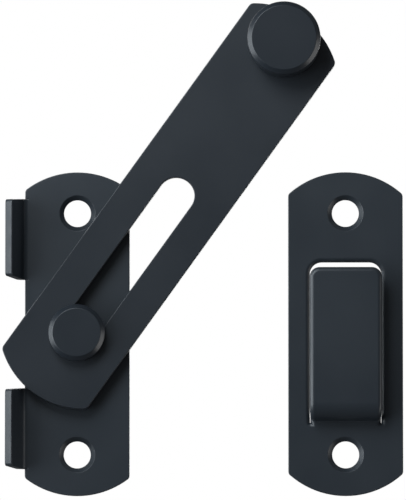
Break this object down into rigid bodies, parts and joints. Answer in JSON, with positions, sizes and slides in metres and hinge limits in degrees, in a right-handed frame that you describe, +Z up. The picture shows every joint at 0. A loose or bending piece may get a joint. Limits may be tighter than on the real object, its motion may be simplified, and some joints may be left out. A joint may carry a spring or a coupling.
{
  "type": "flip latch",
  "caption": "Flip latch: a slotted flat bar swings on a headed stud between bent tabs and drops into an upturned hook on a separate keeper plate.",
  "frame": {"origin": "where the stud's axis meets the back of the base plate, at the centre of the plate", "axes": "+Z up along both plates, +X from the stud towards the keeper, +Y into the door that both plates are screwed to"},
  "size_m": [0.0802, 0.0124, 0.0988],
  "materials": {
    "plate_coat": "satin black coat on bent sheet steel, fine grain",
    "bar_coat": "satin black coat on flat steel bar, fine grain",
    "turned_coat": "satin black coat on turned steel, bright along its rounded edge",
    "spring_steel": "plain rolled spring steel",
    "black_nylon": "matt black moulded nylon"
  },
  "bodies": {
    "mounted_plates": {"base_plate": "plate_coat", "keeper_plate": "plate_coat", "pivot_stud": "turned_coat", "spacer_washer": "black_nylon", "wave_washer": "spring_steel"},
    "bar": {"slide_bar": "bar_coat", "lift_knob": "turned_coat"}
  },
  "joints": [
    {"name": "bar_swing", "type": "hinge", "parent": "mounted_plates", "child": "bar", "pos_m": [0, 0, 0], "axis": [0, -1, 0], "range_deg": [-58.5, 35.75]}
  ]
}
